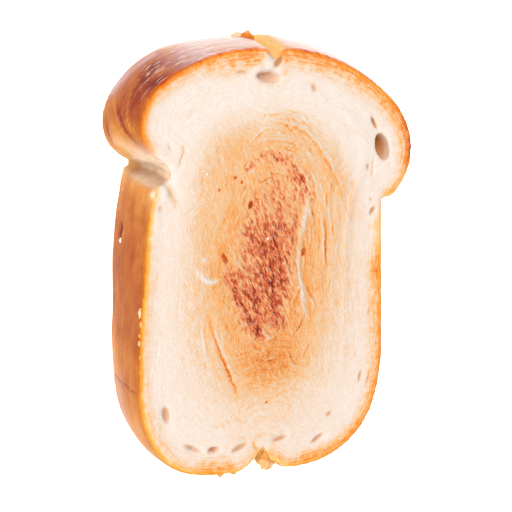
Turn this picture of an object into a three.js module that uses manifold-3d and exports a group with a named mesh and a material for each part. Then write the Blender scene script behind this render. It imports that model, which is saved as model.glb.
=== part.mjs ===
// One thick slice of a tall white loaf, toasted until the middle of one face is scorched.
// The slice lies on its back with the scorched face up. Units are millimetres.
// +X runs across the slice, +Y towards the loaf's crown and +Z out of the scorched face.
// The origin is under the middle of the slice, on the surface that it lies on.
import * as THREE from "three";
import { mergeVertices } from "three/addons/utils/BufferGeometryUtils.js";
import Module from "manifold-3d";

const wasm = await Module();
wasm.setup();

// Driving dimensions of the slice
const THICKNESS = 25;
const EDGE_ROUND = 0.9; // how far the two cut edges are rounded off
const BULGE = 1.3; // how far the crust swells out halfway through the slice
const UNEVEN = 0.3; // depth of the slow waves round the crust
const UNEVEN_WAVES = [5, 9, 14]; // how many waves of each kind go round the outline

// The outline's named corners, on the scorched face and on the back. The crown overhangs the walls like a cap.
// The loaf rises towards its middle, so the crown is higher and its left shoulder wider on the back.
const CORNERS = {
  crown: { scorched: [-3, 70.9], back: [3, 75.2] },
  shoulderLeft: { scorched: [-51.2, 44.5], back: [-54.4, 45] },
  neckLeft: { scorched: [-44, 29], back: [-45.8, 31] },
  footLeft: { scorched: [-50.3, -35], back: [-49.6, -32] },
  heelLeft: { scorched: [-17, -74.6], back: [-17, -72.5] },
  heelRight: { scorched: [12, -75.7], back: [12, -73] },
  footRight: { scorched: [46.3, -37], back: [45.4, -35] },
  neckRight: { scorched: [42.6, 19.5], back: [42.6, 21.5] },
  shoulderRight: { scorched: [54.4, 36.5], back: [53, 38.5] },
};

// How full a bend is between its two ends: a quarter ellipse, a squarer corner, a slack curve
const ELLIPSE = 0.552;
const SQUARISH = 0.66;
const SLACK = 0.42;

// The two handles of a bend. The first two kinds turn a corner, the others leave and arrive the same way.
const acrossThenDown = (a, b, full) => [[a.x + (b.x - a.x) * full, a.y], [b.x, b.y + (a.y - b.y) * full]];
const downThenAcross = (a, b, full) => [[a.x, a.y + (b.y - a.y) * full], [b.x + (a.x - b.x) * full, b.y]];
const upright = (a, b, full) => [[a.x, a.y + (b.y - a.y) * full], [b.x, b.y + (a.y - b.y) * full]];
const straight = (a, b, full) => [a.clone().lerp(b, full), b.clone().lerp(a, full)].map((h) => h.toArray());
const level = (a, b, full) => [[a.x + (b.x - a.x) * full, a.y], [b.x + (a.x - b.x) * full, b.y]];

// The stretches of the outline, anticlockwise seen from above
const STRETCHES = [
  { from: "crown", to: "shoulderLeft", bend: acrossThenDown, full: ELLIPSE, steps: 17 },
  { from: "shoulderLeft", to: "neckLeft", bend: upright, full: SLACK, steps: 7 },
  { from: "neckLeft", to: "footLeft", bend: acrossThenDown, full: SLACK, steps: 11 },
  { from: "footLeft", to: "heelLeft", bend: downThenAcross, full: SQUARISH, steps: 15 },
  { from: "heelLeft", to: "heelRight", bend: level, full: SLACK, steps: 9 },
  { from: "heelRight", to: "footRight", bend: acrossThenDown, full: SQUARISH, steps: 15 },
  { from: "footRight", to: "neckRight", bend: straight, full: SLACK, steps: 9 },
  { from: "neckRight", to: "shoulderRight", bend: acrossThenDown, full: ELLIPSE, steps: 10 },
  { from: "shoulderRight", to: "crown", bend: downThenAcross, full: ELLIPSE, steps: 18 },
];

// The outline at a share of the way from the scorched face, 0, to the back, 1
function outline(share) {
  const corner = (name) => {
    const { scorched, back } = CORNERS[name];
    return new THREE.Vector2(...scorched).lerp(new THREE.Vector2(...back), share);
  };
  return STRETCHES.flatMap(({ from, to, bend, full, steps }) => {
    const start = corner(from);
    const end = corner(to);
    const [leaving, arriving] = bend(start, end, full).map((handle) => new THREE.Vector2(...handle));
    return new THREE.CubicBezierCurve(start, leaving, arriving, end).getPoints(steps).slice(0, -1);
  });
}

// Moves every point of an outline along its own outward normal, by a distance that depends on its turn.
function swell(points, distanceAt) {
  const count = points.length;
  return points.map((point, i) => {
    const along = points[(i + 1) % count].clone().sub(points.at(i - 1)).normalize();
    const outward = new THREE.Vector2(along.y, -along.x);
    return point.clone().addScaledVector(outward, distanceAt(i / count));
  });
}

const unevenness = (turn) =>
  UNEVEN_WAVES.reduce((sum, waves, i) => sum + Math.sin(2 * Math.PI * waves * turn + 2 * i), 0) *
  (UNEVEN / UNEVEN_WAVES.length);

// One ring of the crust at a depth below the scorched face: swollen, uneven and rounded at the edges
function crustRing(depth) {
  const share = depth / THICKNESS;
  const fromEdge = Math.min(depth, THICKNESS - depth, EDGE_ROUND) / EDGE_ROUND;
  const rounding = EDGE_ROUND * (1 - Math.sqrt(1 - (1 - fromEdge) ** 2));
  const swelling = BULGE * Math.sin(Math.PI * share);
  const ring = swell(outline(share), (turn) => swelling + unevenness(turn) - rounding);
  return ring.map((point) => new THREE.Vector3(point.x, point.y, THICKNESS - depth));
}

// The crumb of the scorched face is rings that shrink towards a spine up the slice's middle.
// The crust stands a little above the crumb, and the dough's swirl shows as ridges right of the scorch.
const SPINE = { low: -40, high: 36 };
const RIM_LIP = 0.4;
const SWIRL_HEIGHT = 0.5;
const SWIRL_MIDDLE = 0.03; // the middle of the swirl's arc and its reach to each side, in turns from +X
const SWIRL_REACH = 0.27;
const SMOOTHING = 30; // passes of smoothing on a ring that has shrunk to nothing
const CRUMB_RINGS = [
  { shrink: 0.03, lift: RIM_LIP },
  { shrink: 0.06, lift: 0.15 },
  { shrink: 0.12, lift: 0 },
  { shrink: 0.22, lift: 0 },
  { shrink: 0.3, lift: 0 },
  { shrink: 0.35, lift: 0, swirl: 1 },
  { shrink: 0.4, lift: 0 },
  { shrink: 0.47, lift: 0, swirl: 0.7 },
  { shrink: 0.52, lift: 0 },
  { shrink: 0.58, lift: 0, swirl: 1 },
  { shrink: 0.64, lift: 0 },
  { shrink: 0.75, lift: 0 },
];

// How much of the swirl shows in a direction: 1 in the middle of its arc, 0 past its ends
function swirlShare(x, y) {
  const turn = Math.atan2(y, x) / (2 * Math.PI);
  const offMiddle = Math.min(1, Math.abs(turn - SWIRL_MIDDLE) / SWIRL_REACH);
  return 0.5 + 0.5 * Math.cos(Math.PI * offMiddle);
}

// Each pass puts every point halfway between where it is and the middle of its neighbours.
function smoothed(points, passes) {
  let ring = points;
  for (let pass = 0; pass < passes; pass += 1) {
    const before = ring;
    ring = before.map((point, i) => {
      const between = before.at(i - 1).clone().lerp(before[(i + 1) % before.length], 0.5);
      return point.clone().lerp(between, 0.5);
    });
  }
  return ring;
}

function crumbRing(rim, { shrink, lift, swirl = 0 }) {
  const ring = smoothed(rim, Math.round(SMOOTHING * shrink));
  return ring.map((point) => {
    const spineY = THREE.MathUtils.clamp(point.y, SPINE.low, SPINE.high);
    const x = point.x * (1 - shrink);
    const y = THREE.MathUtils.lerp(point.y, spineY, shrink);
    return new THREE.Vector3(x, y, THICKNESS + lift + swirl * SWIRL_HEIGHT * swirlShare(x, y));
  });
}

// A closed solid through a stack of rings, with a flat cap on the first and the last
function loft(rings) {
  const count = rings[0].length;
  const faces = [];
  for (let start = 0; start < count * (rings.length - 1); start += count) {
    for (let i = 0; i < count; i += 1) {
      const a = start + i;
      const b = start + ((i + 1) % count);
      faces.push(a, b, b + count, a, b + count, a + count);
    }
  }
  const cap = (ring) =>
    THREE.ShapeUtils.triangulateShape(ring.map((point) => new THREE.Vector2(point.x, point.y)), []);
  const last = count * (rings.length - 1);
  cap(rings[0]).forEach(([a, b, c]) => faces.push(c, b, a));
  cap(rings.at(-1)).forEach(([a, b, c]) => faces.push(last + a, last + b, last + c));
  const geometry = new THREE.BufferGeometry().setFromPoints(rings.flat());
  geometry.setIndex(faces);
  return geometry;
}

// A closed geometry as a solid that can be cut and joined, and back again
function solidFrom(geometry) {
  const bare = geometry.clone();
  bare.deleteAttribute("normal");
  bare.deleteAttribute("uv");
  const merged = mergeVertices(bare, 1e-4);
  return new wasm.Manifold(
    new wasm.Mesh({
      numProp: 3,
      vertProperties: merged.getAttribute("position").array,
      triVerts: new Uint32Array(merged.index.array),
    }),
  );
}

function geometryFrom(solid) {
  const { vertProperties, triVerts } = solid.getMesh();
  const geometry = new THREE.BufferGeometry();
  geometry.setAttribute("position", new THREE.BufferAttribute(vertProperties, 3));
  geometry.setIndex(new THREE.BufferAttribute(triVerts, 1));
  return geometry;
}

// Where the dough parted: the split in the crown, the cleft in the foot and the torn notch under each end
// of the cap. Each is a wedge with an apex and two lips, deeper at the scorched face than at the back.
// The lips are rounded: each side leaves the apex towards its own bend. `open` is a point outside the slice.
const PARTINGS = [
  {
    name: "crown split",
    scorched: { apex: [-3.6, 64.6], lipA: [1.6, 72.5], bendA: [-2, 69.5], lipB: [-9.5, 72.5], bendB: [-4.6, 70.6] },
    back: { apex: [-1.6, 71.5], lipA: [3.5, 77], bendA: [0, 75], lipB: [-6.5, 77], bendB: [-2.8, 75] },
    open: [-3.5, 84],
  },
  {
    name: "foot cleft",
    scorched: { apex: [-1.8, -66.9], lipA: [-14, -76], bendA: [-7.5, -73.6], lipB: [7, -76], bendB: [-0.5, -73.4] },
    back: { apex: [-2.4, -69.5], lipA: [-11, -76], bendA: [-5, -73.2], lipB: [6, -76], bendB: [0, -73.2] },
    open: [-3, -86],
  },
  {
    name: "left notch",
    scorched: { apex: [-37.9, 22], lipA: [-50, 38.6], bendA: [-42, 33.5], lipB: [-48, 22.4], bendB: [-43.4, 27.6] },
    back: { apex: [-43.4, 31.4], lipA: [-50, 35], bendA: [-46, 33.8], lipB: [-50, 28.8], bendB: [-45.6, 31.2] },
    open: [-62, 31],
  },
  {
    name: "right notch",
    scorched: { apex: [38.6, 15.4], lipA: [45, 17.2], bendA: [41.8, 18.6], lipB: [45, 19.9], bendB: [41.2, 19.4] },
    back: { apex: [40.6, 20], lipA: [46, 19.8], bendA: [43, 20.4], lipB: [46, 22.2], bendB: [43, 21.3] },
    open: [62, 18.5],
  },
];
const PARTING_STEPS = 7;
const CLEARANCE = 2; // a cutter runs this far past both faces

// A parting's outline at one face, carried past the face to the cutter's end
function partingRing({ apex, lipA, bendA, lipB, bendB }, open, z) {
  const point = (pair) => new THREE.Vector2(...pair);
  const sideA = new THREE.QuadraticBezierCurve(point(apex), point(bendA), point(lipA));
  const sideB = new THREE.QuadraticBezierCurve(point(lipB), point(bendB), point(apex));
  const ring = [...sideA.getPoints(PARTING_STEPS), point(open), ...sideB.getPoints(PARTING_STEPS).slice(0, -1)];
  return ring.map(({ x, y }) => new THREE.Vector3(x, y, z));
}

function parting({ scorched, back, open }) {
  return loft([
    partingRing(back, open, -CLEARANCE),
    partingRing(scorched, open, THICKNESS + CLEARANCE),
  ]);
}

// Air holes that the knife opened in the scorched face: place, length, width, turn in degrees and depth
const AIR_HOLES = [
  { name: "under the split", x: -5.4, y: 61.6, long: 11, wide: 4.6, turn: -8, deep: 3.2 },
  { name: "right lobe", x: 41.8, y: 38, long: 10, wide: 5.4, turn: 112, deep: 4.5 },
  { name: "right slit", x: 37.8, y: 46.2, long: 6, wide: 1.7, turn: 122, deep: 1.6 },
  { name: "lower left", x: -39.8, y: -50, long: 7, wide: 2.8, turn: 102, deep: 1.8 },
  { name: "foot left outer", x: -29.6, y: -63.4, long: 8.5, wide: 2, turn: -24, deep: 1.4 },
  { name: "foot left", x: -21.4, y: -65, long: 5, wide: 2.4, turn: 0, deep: 1.8 },
  { name: "foot left inner", x: -11.4, y: -65.2, long: 7, wide: 2, turn: 22, deep: 1.3 },
  { name: "foot right inner", x: 4.6, y: -63.6, long: 6.4, wide: 1.9, turn: 14, deep: 1.5 },
  { name: "foot right", x: 20.8, y: -66, long: 6.6, wide: 2, turn: 28, deep: 1.5 },
  { name: "lower right", x: 37, y: -42.5, long: 5.4, wide: 1.6, turn: 78, deep: 1.2 },
];
const HOLE_CENTRE_RISE = 0.2; // a hole's centre lies just above the face, so its edge is steep

function airHole({ x, y, long, wide, turn, deep }) {
  return new THREE.SphereGeometry(1, 14, 10)
    .scale(long / 2, wide / 2, deep)
    .rotateZ(THREE.MathUtils.degToRad(turn))
    .translate(x, y, THICKNESS + HOLE_CENTRE_RISE);
}

// Lumps of crumb that cling to the crust: place, size along each axis and turn in degrees
const CLINGING_CRUMBS = [
  { name: "split, pale", x: -6, y: 74, z: 4.5, size: [4.6, 3.2, 4.2], turn: 20 },
  { name: "split, brown", x: -2.9, y: 74.4, z: 4.5, size: [3, 4.8, 3.6], turn: -15 },
  { name: "cleft flap", x: 0.6, y: -72.8, z: 19.5, size: [5.4, 5.6, 7], turn: 35 },
  { name: "left foot", x: -13.4, y: -74, z: 22.5, size: [3.4, 2, 2.6], turn: 10 },
];

function clingingCrumb({ x, y, z, size, turn }) {
  return new THREE.IcosahedronGeometry(0.5, 2)
    .scale(...size)
    .rotateZ(THREE.MathUtils.degToRad(turn))
    .translate(x, y, z);
}

// Depths of the crust's rings, from the back up to the scorched face, closer together at the edges
const EDGE_DEPTHS = [0, 0.15 * EDGE_ROUND, 0.5 * EDGE_ROUND, EDGE_ROUND];
const WALL_RINGS = 5;
const wallDepth = (i) => THREE.MathUtils.lerp(EDGE_ROUND, THICKNESS - EDGE_ROUND, (i + 1) / (WALL_RINGS + 1));
const CRUST_DEPTHS = [
  ...EDGE_DEPTHS,
  ...Array.from({ length: WALL_RINGS }, (_, i) => wallDepth(i)),
  ...EDGE_DEPTHS.map((depth) => THICKNESS - depth).reverse(),
].reverse();

function slice() {
  const crust = CRUST_DEPTHS.map(crustRing);
  const crumb = CRUMB_RINGS.map((ring) => crumbRing(crust.at(-1), ring));
  let solid = solidFrom(loft([...crust, ...crumb]));
  for (const gap of PARTINGS) solid = solid.subtract(solidFrom(parting(gap)));
  for (const lump of CLINGING_CRUMBS) solid = solid.add(solidFrom(clingingCrumb(lump)));
  for (const hole of AIR_HOLES) solid = solid.subtract(solidFrom(airHole(hole)));
  const geometry = geometryFrom(solid);
  geometry.computeBoundingBox();
  const { min, max } = geometry.boundingBox;
  return geometry.translate(-(min.x + max.x) / 2, -(min.y + max.y) / 2, -min.z);
}

const bread = new THREE.MeshStandardMaterial({ color: 0xf2cfa6, roughness: 0.8, metalness: 0 });
const toast = new THREE.Mesh(slice(), bread);
toast.name = "toast";

const part = new THREE.Group();
part.add(toast);

export default part;
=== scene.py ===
# %% [markdown]
# This lesson dresses a plain solid slice of bread as a slice of burnt toast. The solid already has the
# outline, the thickness, the tears and the large air holes. It is loaded as a fixed frame, in metres,
# lying on its back with the scorched face up, and everything made below sits in that same frame. Lengths on
# the slice are given in millimetres, and MM turns them into metres.

# %% Load the frame
import math

import bmesh
import bpy
import numpy as np
from mathutils import Matrix, Vector, kdtree, noise


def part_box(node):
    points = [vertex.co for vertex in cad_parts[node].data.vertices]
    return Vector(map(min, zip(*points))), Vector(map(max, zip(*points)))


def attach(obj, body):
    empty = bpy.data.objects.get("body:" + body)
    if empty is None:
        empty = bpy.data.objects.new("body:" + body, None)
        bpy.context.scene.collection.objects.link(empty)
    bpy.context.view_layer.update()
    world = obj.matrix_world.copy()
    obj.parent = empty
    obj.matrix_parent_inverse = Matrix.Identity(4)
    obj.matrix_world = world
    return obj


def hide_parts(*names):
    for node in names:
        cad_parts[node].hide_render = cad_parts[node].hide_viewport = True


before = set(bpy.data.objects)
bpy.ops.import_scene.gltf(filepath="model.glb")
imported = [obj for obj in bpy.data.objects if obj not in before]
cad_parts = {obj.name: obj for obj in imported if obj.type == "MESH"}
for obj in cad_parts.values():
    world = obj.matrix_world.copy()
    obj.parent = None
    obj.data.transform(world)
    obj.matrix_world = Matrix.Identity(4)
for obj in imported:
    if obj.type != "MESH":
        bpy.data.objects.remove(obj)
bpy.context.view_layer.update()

MM = 0.001
slice_low, slice_high = (np.array(corner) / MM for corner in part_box("toast"))
FACE_Z = 25.0
print("slice size in mm:", np.round(slice_high - slice_low, 1))

# %% [markdown]
# The photograph looks down on the face from the upper left, with a long lens. A camera could be placed by
# eye and nudged, but it is easier to say where it looks from as two angles away from straight down, plus
# a small roll, and to build its axes from those.

# %% Place the camera
LENS_MM = 85
SENSOR_MM = 36
CAMERA_DISTANCE = 407.0 * MM
CAMERA_LEAN = math.radians(31)
CAMERA_SWING = math.radians(20)
CAMERA_ROLL = math.radians(2)
CAMERA_TARGET = Vector((-8.2, 1.25, FACE_Z)) * MM
NEAREST_SEEN = 10 * MM


def camera_axes(lean, swing, roll):
    """Right, up and backward directions of a camera that leans off the vertical."""
    sideways = math.sin(lean)
    back = Vector((-sideways * math.cos(swing), sideways * math.sin(swing), math.cos(lean))).normalized()
    level_right = Vector((0, 1, 0)).cross(back).normalized()
    level_up = back.cross(level_right)
    right = math.cos(roll) * level_right + math.sin(roll) * level_up
    return right, back.cross(right), back


def add_camera():
    data = bpy.data.cameras.new("camera")
    data.lens = LENS_MM
    data.sensor_width = SENSOR_MM
    data.clip_start = NEAREST_SEEN
    camera = bpy.data.objects.new("camera", data)
    right, up, back = camera_axes(CAMERA_LEAN, CAMERA_SWING, CAMERA_ROLL)
    turn = Matrix((right, up, back)).transposed().to_4x4()
    camera.matrix_world = Matrix.Translation(CAMERA_TARGET + back * CAMERA_DISTANCE) @ turn
    bpy.context.collection.objects.link(camera)
    bpy.context.scene.camera = camera
    return camera


camera = add_camera()
print("camera at", [round(value, 3) for value in camera.location])

# %% [markdown]
# The picture is very bright and almost without shadow. That comes from a white floor that glows a little, as
# a light table does, a large soft light high on the left, a weak one at the foot and an even white surround.
# A picture of a bright sky could light it too, but two lamps are easier to aim. Colours are shown as they
# are, without a film curve, so that the pale crumb keeps its warm tint. Floor and lights are in metres.

# %% Lay the glowing floor
FLOOR_SIDE = 6.0
FLOOR_DROP = 0.15 * MM
FLOOR_GLOW = 0.6
FLOOR_TONE = (250, 250, 250)
FLOOR_ROUGHNESS = 0.9
WHITE = (1, 1, 1, 1)


def linear(red, green, blue):
    """A screen colour, 0 to 255, as the linear colour that a shader socket takes."""
    return tuple(((c / 255 + 0.055) / 1.055) ** 2.4 for c in (red, green, blue)) + (1.0,)


def add_floor():
    bpy.ops.mesh.primitive_plane_add(size=FLOOR_SIDE, location=(0, 0, -FLOOR_DROP))
    floor = bpy.context.object
    floor.name = "floor"
    material = bpy.data.materials.new("white_floor")
    material.use_nodes = True
    shader = material.node_tree.nodes["Principled BSDF"]
    shader.inputs["Base Color"].default_value = linear(*FLOOR_TONE)
    shader.inputs["Roughness"].default_value = FLOOR_ROUGHNESS
    shader.inputs["Emission Color"].default_value = WHITE
    shader.inputs["Emission Strength"].default_value = FLOOR_GLOW
    floor.data.materials.append(material)


add_floor()
print("floor:", FLOOR_SIDE, "m wide")

# %% Light the scene
SURROUND_STRENGTH = 0.55
LIGHTS = [
    {"name": "softbox high on the left", "place": (-0.9, 1.1, 1.9), "size": 1.6, "watts": 52.0},
    {"name": "low fill from the foot", "place": (-0.8, -1.4, 0.9), "size": 1.2, "watts": 20.0},
]


def add_lights():
    for light in LIGHTS:
        data = bpy.data.lights.new(light["name"], "AREA")
        data.size = light["size"]
        data.energy = light["watts"]
        lamp = bpy.data.objects.new(light["name"], data)
        lamp.location = light["place"]
        lamp.rotation_euler = (-Vector(light["place"])).to_track_quat("-Z", "Y").to_euler()
        bpy.context.collection.objects.link(lamp)
    world = bpy.data.worlds.new("surround")
    world.use_nodes = True
    background = world.node_tree.nodes["Background"]
    background.inputs["Color"].default_value = WHITE
    background.inputs["Strength"].default_value = SURROUND_STRENGTH
    bpy.context.scene.world = world
    bpy.context.scene.view_settings.view_transform = "Standard"


add_lights()
print("lights:", ", ".join(light["name"] for light in LIGHTS))

# %% [markdown]
# Bread needs a fine, even skin of small faces before it can take relief. The solid's own triangles are
# long and uneven, so a copy is remeshed with even squares, and only the scorched face is split once more,
# because that is where the finest relief is.

# %% Make a fine copy of the slice
VOXEL = 0.95 * MM
SMOOTHING = 0.5
FACE_BAND = 22.0
UPWARD = 0.4


def fine_copy(node):
    """A remeshed copy of a solid, with faces of about half a voxel on the upward side."""
    source = bpy.data.objects[node]
    copy = bpy.data.objects.new("toast_slice", source.data.copy())
    bpy.context.collection.objects.link(copy)
    remesh = copy.modifiers.new("even skin", "REMESH")
    remesh.mode = "VOXEL"
    remesh.voxel_size = VOXEL
    evaluated = copy.evaluated_get(bpy.context.evaluated_depsgraph_get())
    mesh = bpy.data.meshes.new_from_object(evaluated)
    copy.modifiers.clear()
    copy.data = mesh
    split_upward_faces(mesh)
    mesh.materials.clear()
    mesh.shade_smooth()
    return copy


def split_upward_faces(mesh):
    skin = bmesh.new()
    skin.from_mesh(mesh)
    every_axis = {"use_axis_x": True, "use_axis_y": True, "use_axis_z": True}
    bmesh.ops.smooth_vert(skin, verts=skin.verts, factor=SMOOTHING, **every_axis)
    high = [face for face in skin.faces if face.calc_center_median().z > FACE_BAND * MM]
    edges = {edge for face in high if face.normal.z > UPWARD for edge in face.edges}
    bmesh.ops.subdivide_edges(skin, edges=list(edges), cuts=1, use_grid_fill=True)
    skin.to_mesh(mesh)
    skin.free()


def triangle_count(mesh):
    return sum(len(polygon.vertices) - 2 for polygon in mesh.polygons)


toast = fine_copy("toast")
print("triangles in the fine slice:", triangle_count(toast.data))

# %% [markdown]
# Bread is soft, so the slice has sagged a little: its walls bulge, and the notch under the left of the cap
# hangs open. A lattice could bend it, but a few named pulls, each fading out over a distance, are easier to
# aim. The torn edge of the notch also has no sharp edge. A bevel needs clean edges to follow, which this skin
# does not have, so the points there drift towards their neighbours, many times over, which rounds it off.

# %% List the pulls
PULLS = [
    {"name": "bottom of the notch", "place": (-41, 26.5, 22), "by": (0.4, 2.8, 0), "reach": (12, 12, 28)},
    {"name": "corner under the notch", "place": (-44, 21.5, 25), "by": (0, -2.2, 0), "reach": (8, 5.5, 22)},
    {"name": "low left of the cap", "place": (-50, 37.5, 4), "by": (-1.0, -0.9, 0), "reach": (8, 9, 20)},
    {"name": "back of the left shoulder", "place": (-36, 66, 2), "by": (-0.5, 1.2, 0), "reach": (24, 16, 18)},
    {"name": "left wall", "place": (-50, 4, 2), "by": (-1.0, 0, 0), "reach": (14, 26, 24)},
    {"name": "low left wall", "place": (-50, -40, 0), "by": (0.7, 0, 0), "reach": (14, 16, 26)},
    {"name": "right of the cap", "place": (54, 34, 25), "by": (0.3, 0, 0), "reach": (14, 20, 60)},
    {"name": "right wall", "place": (45, 2, 25), "by": (0.5, 0, 0), "reach": (14, 36, 60)},
    {"name": "upper right of the cap", "place": (42, 57, 25), "by": (-0.5, -0.5, 0), "reach": (20, 20, 60)},
    {"name": "lower right", "place": (30, -68, 25), "by": (0.1, 0.1, 0), "reach": (20, 18, 60)},
    {"name": "foot", "place": (-16, -76, 25), "by": (0, 0.4, 0), "reach": (26, 14, 60)},
    {"name": "top of the cleft", "place": (-2.3, -67.3, 25), "by": (0.3, 1.8, 0), "reach": (4, 5, 50)},
    {"name": "right lip of the cleft", "place": (3, -73, 25), "by": (1.6, 0.8, 0), "reach": (5, 6, 50)},
]
print("longest pull:", round(max(math.hypot(*pull["by"]) for pull in PULLS), 1), "mm")

# %% Pull the slice into its sagging shape
ROLL_FROM = np.array([-41.0, 29.0, FACE_Z])
ROLL_TO = np.array([-46.0, 34.5, FACE_Z])
ROLL_REACH = 5.0
ROLL_FULL = 1.5
ROLL_PASSES = 40
DRIFT = 0.5


def smooth_step(low, high, value):
    share = np.clip((value - low) / (high - low), 0, 1)
    return share * share * (3 - 2 * share)


def read_vectors(mesh, collection, name):
    values = np.empty(len(mesh.vertices) * 3)
    collection.foreach_get(name, values)
    return values.reshape(-1, 3)


def line_gap(points, start, end):
    """Each point's distance to the straight line between two places."""
    step = end - start
    share = np.clip((points - start) @ step / (step @ step), 0, 1)
    return np.linalg.norm(points - start - share[:, None] * step, axis=1)


def neighbour_middles(points, links):
    """The middle of each point's neighbours."""
    counts = np.bincount(links[:, 0], minlength=len(points))
    sums = [np.bincount(links[:, 0], points[links[:, 1], axis], len(points)) for axis in range(3)]
    return np.stack(sums, axis=1) / counts[:, None]


def pulled(points):
    """Points after all the pulls have moved them."""
    result = points.copy()
    for pull in PULLS:
        away = (points - np.array(pull["place"])) / np.array(pull["reach"])
        result += smooth_step(1, 0, np.linalg.norm(away, axis=1))[:, None] * np.array(pull["by"])
    return result


def sag(mesh):
    """Pulls the slice about, rounds off the torn edge and says how many points drifted there."""
    points = read_vectors(mesh, mesh.vertices, "co") / MM
    ends = np.empty(len(mesh.edges) * 2, dtype=np.int32)
    mesh.edges.foreach_get("vertices", ends)
    ends = ends.reshape(-1, 2)
    links = np.concatenate([ends, ends[:, ::-1]])
    points = pulled(points)
    share = DRIFT * smooth_step(ROLL_REACH, ROLL_FULL, line_gap(points, ROLL_FROM, ROLL_TO))
    for _ in range(ROLL_PASSES):
        points += share[:, None] * (neighbour_middles(points, links) - points)
    mesh.vertices.foreach_set("co", (points * MM).ravel())
    mesh.update()
    return int((share > 0).sum())


print("points that drift:", sag(toast.data))

# %% [markdown]
# Almost everything that shows on toast depends on where a point is: how far from the rim, how far from the
# middle, on the crust or on the crumb. So each point's place and slope are read once into arrays, in
# millimetres. The rim is where the slope turns from the wall to a face, and a search tree gives each point
# its nearest place on it.

# %% Measure the slice
FLAT_SLOPE = 0.8
STEEP_SLOPE = 0.35
RIM_SLOPES = (0.45, 0.75)
RIM_REACH = 3.0
RIM_FADE = 1.0
WALL_BAND = (8.0, 17.0)


def nearest(points, targets):
    """For each point, the distance to the nearest target and that target's place."""
    tree = kdtree.KDTree(len(targets))
    for index, target in enumerate(targets.tolist()):
        tree.insert(target, index)
    tree.balance()
    found = [tree.find(point) for point in points.tolist()]
    return np.array([hit[2] for hit in found]), targets[[hit[1] for hit in found]]


def flattened(points):
    return points * np.array([1, 1, 0])


places = read_vectors(toast.data, toast.data.vertices, "co") / MM
slopes = read_vectors(toast.data, toast.data.vertex_normals, "vector")
x, y, z = places.T
tilt = np.abs(slopes[:, 2])
front = z > FACE_Z / 2
in_wall_band = (z > WALL_BAND[0]) & (z < WALL_BAND[1]) & (tilt < STEEP_SLOPE)
wall_gap, _ = nearest(flattened(places), flattened(places[in_wall_band]))
near_wall = smooth_step(RIM_REACH + RIM_FADE, RIM_REACH, wall_gap)
crust = smooth_step(FLAT_SLOPE, STEEP_SLOPE, tilt) * near_wall
on_rim = (wall_gap < RIM_REACH) & (tilt > RIM_SLOPES[0]) & (tilt < RIM_SLOPES[1])
front_gap, front_rim = nearest(places, places[on_rim & front])
back_gap, back_rim = nearest(places, places[on_rim & ~front])
rim_gap = np.where(front, front_gap, back_gap)
rim_place = np.where(front[:, None], front_rim, back_rim)
face_up = front * (1 - crust)
print("points on the scorched face:", int((face_up > 0.5).sum()), "of", len(places))

# %% [markdown]
# A loaf is rolled before it is baked, so its crumb is drawn out in layers that run round the slice. Each
# point gets a flow place: how far along and how far across those layers it lies. Grain that is stretched
# along the flow then bends with the rim, on both faces, with no seams.

# %% Find the flow of the crumb
SPINE_LOW, SPINE_HIGH = -32.0, 24.0
FLOW_RADIUS = 45.0
NOT_ZERO = 1e-6

spine_y = np.clip(y, SPINE_LOW, SPINE_HIGH)
from_spine = np.stack([x, y - spine_y], axis=1)
outward = from_spine / (np.linalg.norm(from_spine, axis=1) + NOT_ZERO)[:, None]
flow = np.stack([outward[:, 0] * FLOW_RADIUS, outward[:, 1] * FLOW_RADIUS + spine_y, rim_gap], axis=1)
print("flow reaches", np.round(rim_gap.max(), 1), "mm in from the rim")

# %% [markdown]
# Toasting browns the middle of the face most, where it bulged nearest the heat. The even browning is a few
# soft ovals, and the scorch is more ovals that lean the way the layers lean there. Ovals with names are
# easier to move about than a painted mask, and they need no picture. A level below zero pales a place.

# %% List the toasted and scorched ovals
# place and size in mm, turn in degrees, level of browning and how much of the oval its soft edge takes up
OVAL = ("name", "x", "y", "long", "wide", "turn", "level", "edge")


def named(keys, rows):
    """Rows of values as dictionaries, so that each value is used by its name."""
    return [dict(zip(keys, row)) for row in rows]


TOASTED_OVALS = named(OVAL, [
    ("wide warmth", -1, -13, 150, 102, 90, 0.33, 0.7),
    ("toasted middle", -3, 0, 118, 74, 85, 0.295, 0.55),
    ("browned foot", 0.5, -37, 39, 26, 0, 0.36, 0.9),
    ("left of the foot", -13, -44, 24, 18, -40, 0.05, 0.9),
    ("browned top", 1, 38, 56, 30, -6, 0.22, 0.9),
    ("browned heart", -4, -4, 84, 50, 88, 0.14, 0.5),
    ("upper left warmth", -22.5, 35, 44, 27, 60, 0.28, 0.9),
    ("paler upper middle", 3, 24, 26, 18, 110, -0.1, 0.9),
    ("upper right warmth", 23, 27, 44, 20, -62, 0.25, 0.9),
    ("upper arc of warmth", 5.5, 45.5, 28, 12, -25, 0.2, 0.9),
    ("paler lower left", -22, -24, 30, 14, 110, -0.14, 0.9),
    ("paler right", 21, -8, 44, 14, 90, -0.08, 0.9),
    ("left warmth", -29, 14, 44, 18, 88, 0.13, 0.9),
    ("left of the top", -18.5, 25.5, 11, 9, 0, 0.13, 0.9),
    ("blister", -24.5, -2.5, 11, 9, 0, 0.12, 0.6),
])
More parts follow.
